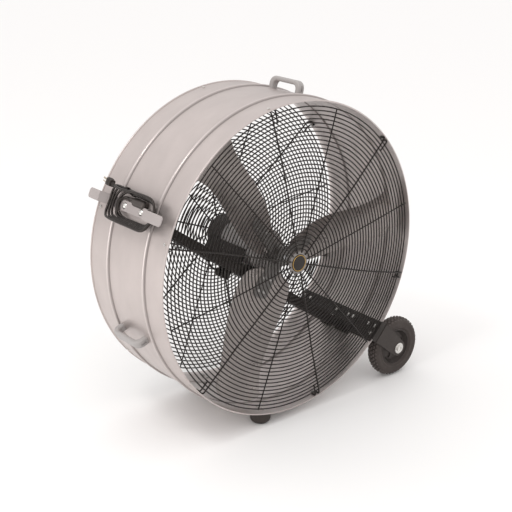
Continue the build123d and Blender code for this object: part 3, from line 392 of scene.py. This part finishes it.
def ring(rad, y, wire, seg=192, sides=8):
    """Wire ring about the fan's axis."""
    v, f = [], []
    for i in range(seg):
        a = 2 * pi * i / seg
        for j in range(sides):
            b = 2 * pi * j / sides
            rr = rad + wire * cos(b)
            v.append(P(rr * sin(a), y + wire * sin(b), rr * cos(a)))
    for i in range(seg):
        for j in range(sides):
            a, b = i * sides + j, i * sides + (j + 1) % sides
            c, d = ((i + 1) % seg) * sides + (j + 1) % sides, ((i + 1) % seg) * sides + j
            f.append((a, b, c, d))
    return v, f


def lathe(profile, seg=96, cx=0.0, cz=0.0, closed=True):
    """Profile of (radius, y) turned about an axis along Y at (cx, cz), fan frame."""
    n = len(profile)
    v, f = [], []
    for i in range(seg):
        a = 2 * pi * i / seg
        for r_, y_ in profile:
            v.append(P(cx + r_ * sin(a), y_, cz + r_ * cos(a)))
    for i in range(seg):
        for j in range(n if closed else n - 1):
            a, b = i * n + j, i * n + (j + 1) % n
            c, d = ((i + 1) % seg) * n + (j + 1) % n, ((i + 1) % seg) * n + j
            f.append((a, b, c, d))
    return v, f


# ---------------------------------------------------------------- power cord
CW_TH = -64.9
N_ = Vector((sin(radians(CW_TH)), 0, cos(radians(CW_TH))))
V_ = Vector((cos(radians(CW_TH)), 0, -sin(radians(CW_TH))))


def W(y, v, w):
    """On the drum at the cord wrap: y to the rear, v up along the drum, w outward."""
    q = N_ * (R + w) + V_ * v
    return P(q.x, y, q.z)


# lead out of the hood, as in the model's route
cord_pts = [(37, 30, 11.5), (51, 31, 13.0), (64, 28, 17.0), (73.5, 19.5, 21.6)]

REAR_Y = [79.0, 89.5, 111.0, 121.5, 132.0]      # where each turn crosses the strip
CR = 40.0


def quarter(q, a, b):
    """A quarter of one of the hank's turns, w changing evenly along it."""
    out = []
    for t in (0, 30, 60, 90):
        k_ = t / 90.0
        sn, cs = sin(radians(t)), cos(radians(t))
        if q == "to_cross":      # from a run (a) to a crossing (b)
            out.append((a[0] + (b[0] - a[0]) * sn, b[1] + (a[1] - b[1]) * cs, a[2] + (b[2] - a[2]) * k_))
        else:                    # from a crossing (a) to a run (b)
            out.append((b[0] + (a[0] - b[0]) * cs, a[1] + (b[1] - a[1]) * sn, a[2] + (b[2] - a[2]) * k_))
    return out


for k in range(5):
    ry, rw = REAR_Y[k], 21.4 + 1.2 * k
    fy, fw = -120.0 - 8.4 * k, 12.0 + 5.9 * k
    lv, lw = -41.0 - 4.6 * k, 13.0 + 8.7 * k
    uv, uw = 47.5 + 3.3 * k, 8.0 + 9.3 * k
    if k > 0:
        cord_pts += quarter("to_cross", (ry - CR, uv, uw), (ry, 1.0, rw))
    else:
        cord_pts += [(80.2, 4.5, 24.2)]
    if k > 0:
        cord_pts += quarter("to_run", (ry, 1.0, rw), (ry - CR, lv, lw))[1:]
    else:
        cord_pts += [(77.5, -14.0, 22.6), (66.0, -29.5, 19.4), (51.0, -38.5, 15.6), (34.0, lv, lw)]
    y0, y1 = ry - CR, fy + CR
    cord_pts += [(y0 + (y1 - y0) * 0.36, lv - 0.8, lw + 0.5), (y0 + (y1 - y0) * 0.70, lv + 0.7, lw - 0.6)]
    cord_pts += quarter("to_cross", (fy + CR, lv, lw), (fy, 1.0, fw))
    cord_pts += quarter("to_run", (fy, 1.0, fw), (fy + CR, uv, uw))[1:]
    if k < 4:
        # up to the next turn's place along the upper run
        y0, y1 = fy + CR, REAR_Y[k + 1] - CR
        for g in (0.34, 0.68):
            cord_pts.append((y0 + (y1 - y0) * g, uv + 3.3 * g, uw + 9.3 * g))
# the last pass lies on the upper run, goes through the tie and out to the plug
cord_pts += [(-60, 60.5, 45.5), (-20, 58.0, 48.5), (14, 55.0, 51.5), (34, 53.0, 53.5), (56, 52.0, 54.5), (78, 53.0, 53.0), (100, 56.0, 51.0)]
cu = bpy.data.curves.new("power_cord", "CURVE")
cu.dimensions = "3D"
sp = cu.splines.new("NURBS")
sp.points.add(len(cord_pts) - 1)
for i, q in enumerate(cord_pts):
    c_ = W(*q)
    sp.points[i].co = (c_.x, c_.y, c_.z, 1.0)
sp.order_u = 3
sp.use_endpoint_u = True
cu.resolution_u = 6
cu.bevel_depth = 0.00475
cu.bevel_resolution = 4
cu.use_fill_caps = True
cord = bpy.data.objects.new("power_cord", cu)
bpy.context.scene.collection.objects.link(cord)
cu.materials.append(MAT["cord"])
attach(cord, "frame")
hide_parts("cord_lead", "cord_hank", "cord_tail")
# plug: ringed relief and a body with a waist, where the model's plug is
PO = W(100, 56, 51)
PZ = (W(100, 56, 51) - W(78, 53, 53)).normalized()
PX = (N_ - PZ * N_.dot(PZ)).normalized()
PY = PZ.cross(PX)


def loop_rr(hx, hy, r_, z_, n=8):
    """Rounded rectangle with 4 * n points."""
    r_ = min(r_, hx, hy)
    out = []
    for qx, qy, a0 in ((1, 1, 0), (-1, 1, 90), (-1, -1, 180), (1, -1, 270)):
        for i_ in range(n):
            a_ = radians(a0 + 90.0 * i_ / (n - 1))
            out.append(((qx * (hx - r_) + r_ * cos(a_)), (qy * (hy - r_) + r_ * sin(a_)), z_))
    return out


prof = [(0.0, 5.2, 5.2, 5.2), (0.8, 6.0, 6.0, 6.0)]
rr_ = 6.2
for g in range(5):
    z_ = 1.2 + 3.4 * g
    rr_ = 6.3 + 0.42 * g
    prof += [(z_, rr_, rr_, rr_), (z_ + 1.9, rr_ + 0.15, rr_ + 0.15, rr_ + 0.15), (z_ + 2.2, rr_ - 0.9, rr_ - 0.9, rr_ - 0.9),
             (z_ + 3.1, rr_ - 0.8, rr_ - 0.8, rr_ - 0.8)]
prof += [(18.2, 9.0, 9.4, 7.5), (19.0, 11.2, 11.7, 7.3), (20.5, 12.0, 12.6, 7.2), (27.0, 11.6, 12.7, 7.0), (31.0, 11.9, 13.3, 7.0), (32.0, 12.9, 14.3, 7.3),
         (43.8, 13.4, 14.9, 7.6), (45.2, 13.1, 14.6, 7.3), (46.0, 12.0, 13.5, 6.6)]
acc_v, acc_f = [], []
for (z_, hx, hy, r_) in prof:
    for q in loop_rr(hx, hy, r_, z_):
        acc_v.append(PO + (PX * q[0] + PY * q[1] + PZ * q[2]) * 0.001)
m_ = 32
for i_ in range(len(prof) - 1):
    for j_ in range(m_):
        acc_f.append((i_ * m_ + j_, i_ * m_ + (j_ + 1) % m_, (i_ + 1) * m_ + (j_ + 1) % m_, (i_ + 1) * m_ + j_))
acc_f.append(tuple(range(m_ - 1, -1, -1)))
acc_f.append(tuple(range((len(prof) - 1) * m_, len(prof) * m_)))
plug = make("moulded_plug", acc_v, acc_f, "plug", "frame", replaces=("plug_body",), sharp=38)

# tie: a woven strap round the five passes of the upper run
ca, sa = 13.2 / 39.5, 37.2 / 39.5            # along the row of passes: v and w share
tv, tw = 54.1, 26.6
acc_v, acc_f = [], []
NS = 40
loop = []
hl, hw = 19.8, 5.6
for q in range(NS):
    u = q / NS * (4 * hl + 2 * pi * hw)
    if u < 2 * hl:
        a_, b_, na, nb = -hl + u, hw, 0.0, 1.0
    elif u < 2 * hl + pi * hw:
        g = (u - 2 * hl) / hw
        a_, b_, na, nb = hl + hw * sin(g), hw * cos(g), sin(g), cos(g)
    elif u < 4 * hl + pi * hw:
        a_, b_, na, nb = hl - (u - 2 * hl - pi * hw), -hw, 0.0, -1.0
    else:
        g = (u - 4 * hl - pi * hw) / hw
        a_, b_, na, nb = -hl - hw * sin(g), -hw * cos(g), -sin(g), -cos(g)
    loop.append((a_, b_, na, nb))
for (a_, b_, na, nb) in loop:
    for (dy, dn) in ((-7.0, 0.0), (-7.4, 0.8), (-7.0, 1.5), (-2.5, 1.7), (2.5, 1.7), (7.0, 1.5), (7.4, 0.8), (7.0, 0.0), (0.0, -0.1)):
        aa, bb = a_ + na * dn, b_ + nb * dn
        acc_v.append(W(27.0 + dy, tv + aa * ca + bb * sa, tw + aa * sa - bb * ca))
for q in range(NS):
    for j in range(9):
        a_, b_ = q * 9 + j, q * 9 + (j + 1) % 9
        c_, d_ = ((q + 1) % NS) * 9 + (j + 1) % 9, ((q + 1) % NS) * 9 + j
        acc_f.append((a_, b_, c_, d_))
make("cord_strap", acc_v, acc_f, "strap", "frame", replaces=("cord_tie",), sharp=40)

# ---------------------------------------------------------------- grilles
SP0 = {-1: -11.5, 1: -8.5}      # first thick spoke, front and rear
G_R0, G_P, NR = 0.0905 * R, 0.025 * R, 36


def g_y(r_, s):
    """Dished grille: the centre stands out of the rim plane, the edge is inside it."""
    return s * (229.0 + 12.5 * (1 - min(1.0, r_ / 590.0) ** 2))


def grille(name, s, node):
    acc = Acc()
    for i in range(NR):
        rr = G_R0 + G_P * i
        acc.add(*ring(rr, g_y(rr, s), 2.5 if i < NR - 1 else 2.6))
    for k in range(12):
        th = SP0[s] + 30 * k
        thick = k % 2 == 0
        wr = 3.0 if thick else 2.5
        off = s * (2.4 + wr)
        if thick:
            # hairpin: out to the drum wall, along the wall, an eye round the screw and back
            t0, t1 = -9.0, 11.0
            line = []
            for q in range(15):
                rr = 40 + (592 - 40) * q / 14
                line.append((rr, t0 * max(0.0, (rr - 380) / 212.0), g_y(rr, s) + off))
            yo = line[-1][2]
            yi = s * 222.0
            ye = s * 211.0
            line += [(597.5, t0, yo - s * 1.5), (599.8, t0, yo - s * 4.5), (600.2, t0, yi),
                     (600.2, t0, ye + s * 2.0), (600.2, -7.0, ye - s * 5.2), (600.2, 0.0, ye - s * 7.6), (600.2, 7.0, ye - s * 5.2),
                     (600.2, t1, ye + s * 2.0), (600.2, t1, yi), (599.8, t1, yo - s * 4.5), (597.5, t1, yo - s * 1.5),
                     (590.0, t1, yo), (575.0, t1, yo), (552.0, t1, yo)]
            pts = []
            for rr, t, yy in line:
                a = radians(th)
                pts.append(P(rr * sin(a) + t * cos(a), yy, rr * cos(a) - t * sin(a)))
            acc.add(*tube(pts, wr / 1000.0, 8))
        else:
            a = radians(th)
            pts = [P(rr * sin(a), g_y(rr, s) + off, rr * cos(a)) for rr in [40 + (586 - 40) * q / 12 for q in range(13)]]
            acc.add(*tube(pts, wr / 1000.0, 8))
    return make(name, acc.v, acc.f, "wire", "frame", replaces=(node,))


# wires of the rings are in millimetres above; tube() works in metres
front = grille("front_wire_grille", -1, "front_grille")
rear = grille("rear_wire_grille", 1, "rear_grille")
# the hairpin ends stand for the plain clips
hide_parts("grille_clips")

# centre plates
for s, nm in ((-1, "front_centre_plate"), (1, "rear_centre_plate")):
    y0 = s * 241.5
    prof = [(0.01, y0 + s * 4.2), (38.0, y0 + s * 4.2), (42.5, y0 + s * 3.6), (45.2, y0 + s * 1.8), (45.7, y0 - s * 1.0), (44.2, y0 - s * 1.0),
            (43.6, y0 + s * 1.0), (41.0, y0 + s * 2.2), (0.01, y0 + s * 2.4)]
    v_, f_ = lathe(prof, 72, closed=False)
    o_ = make(nm, v_, f_, "plate", "frame", sharp=40)

# badge: bare black disc with a plain gold ring
yb = -241.5 - 4.3
prof = [(0.01, yb - 2.2), (28.0, yb - 2.15), (33.2, yb - 1.7), (34.3, yb - 0.6), (34.3, yb + 0.2), (0.01, yb + 0.2)]
v_, f_ = lathe(prof, 72, closed=False)
badge = make("badge_disc", v_, f_, "badge", "frame", replaces=("centre_badge",), sharp=40)
v_, f_ = ring(30.4, yb - 2.0, 1.2, 96, 10)
gold = make("badge_gold_ring", v_, f_, "gold", "frame")


# ---------------------------------------------------------------- tyres
def tyre(name, s, node, body):
    yc = s * 200.0
    cx, cz = 571.5, 127.0 - AZ
    w = 29.0
    acc = Acc()
    half = [(77.2, 19.5), (80.0, 21.5), (83.0, 24.0), (85.5, 26.6), (88.0, 27.3), (90.5, 26.8), (93.5, 26.6), (99.0, 28.0), (105.0, 28.9),
            (110.0, 28.4), (114.5, 26.6), (118.0, 23.0), (120.0, 17.5), (121.2, 9.0)]
    prof = [(r_, yc - y_) for r_, y_ in half] + [(121.6, yc)] + [(r_, yc + y_) for r_, y_ in reversed(half)]
    acc.add(*lathe(prof, 144, cx, cz))

    def surf(lat):
        """Radius and outward tilt of the carcass at lateral arc place lat (mm from the middle)."""
        a = lat / 30.0
        if abs(lat) <= 16:
            return 121.3 - 0.012 * lat * lat, lat, 0.024 * lat
        e = abs(lat) - 16
        b = 0.38 + e * 0.055
        sg = 1 if lat > 0 else -1
        return 118.2 - e * 0.62 - 0.012 * e * e, sg * (16 + e * 0.62), sg * b

    rows = [(-29.0, 0.0, 4.6), (-21.0, 0.5, 5.4), (-11.0, 0.0, 5.6), (0.0, 0.5, 5.6), (11.0, 0.0, 5.6), (21.0, 0.5, 5.4), (29.0, 0.0, 4.6)]
    n = 42
    for lat, ph, hh in rows:
        r0, y0, tilt = surf(lat)
        edge = abs(lat) > 25
        ln = 7.6 if not edge else 6.4          # half diagonal along the circumference
        wd = 5.6 if not edge else 4.6          # half diagonal across
        for i in range(n):
            a = 2 * pi * (i + ph) / n
            er = Vector((sin(a), 0, cos(a)))
            ey = Vector((0, 1, 0))
            nn = (er * cos(tilt) + ey * sin(tilt)).normalized()
            ta = Vector((cos(a), 0, -sin(a)))
            la = nn.cross(ta)
            base = er * r0 + ey * y0
            quad = [(ln, 0), (0, wd), (-ln, 0), (0, -wd)]
            vv = []
            lift = hh if not edge else hh * 0.85
            for h_, k_ in ((-1.5, 1.0), (lift * 0.82, 0.86), (lift, 0.70)):
                for qx, qy in quad:
                    # corners of each block are cut a little
                    for sx_, sy_ in ((0.86, 0.14), (0.86, -0.14)) if qy == 0 else ((0.14, 0.86), (-0.14, 0.86)):
                        if qy == 0:
                            px = qx * sx_
                            py = wd * sy_ * (1 if qx > 0 else -1)
                        else:
                            px = ln * sx_ * (1 if qy > 0 else -1)
                            py = qy * sy_
                        vv.append((px * k_, py * k_, h_))
            # order the eight corners round the block at each level
            out = []
            for lvl in range(3):
                part = vv[lvl * 8:lvl * 8 + 8]
                part.sort(key=lambda q: atan2(q[1], q[0]))
                out += part
            pts = []
            for px, py, h_ in out:
                q = base + ta * px + la * py + nn * h_
                # follow the wheel's round
                pts.append(P(cx + q.x, yc + q.y, cz + q.z))
            fc = []
            for lvl in range(2):
                for j in range(8):
                    fc.append((lvl * 8 + j, lvl * 8 + (j + 1) % 8, (lvl + 1) * 8 + (j + 1) % 8, (lvl + 1) * 8 + j))
            fc.append(tuple(16 + j for j in range(8)))
            fc.append(tuple(7 - j for j in range(8)))
            acc.add(pts, fc)
    return make(name, acc.v, acc.f, "tyre", body, replaces=(node,), sharp=32)


tyre("front_knobbed_tyre", -1, "front_tyre", "front_wheel")
tyre("rear_knobbed_tyre", 1, "rear_tyre", "rear_wheel")

# ---------------------------------------------------------------- floor
me = bpy.data.meshes.new("floor")
me.from_pydata([(-30, -30, 0), (30, -30, 0), (30, 30, 0), (-30, 30, 0)], [], [(0, 1, 2, 3)])
floor = bpy.data.objects.new("floor", me)
bpy.context.scene.collection.objects.link(floor)
fm = bpy.data.materials.new("floor_white")
fm.use_nodes = True
fm.node_tree.nodes["Principled BSDF"].inputs["Base Color"].default_value = (0.93, 0.925, 0.92, 1)
fm.node_tree.nodes["Principled BSDF"].inputs["Roughness"].default_value = 0.85
me.materials.append(fm)
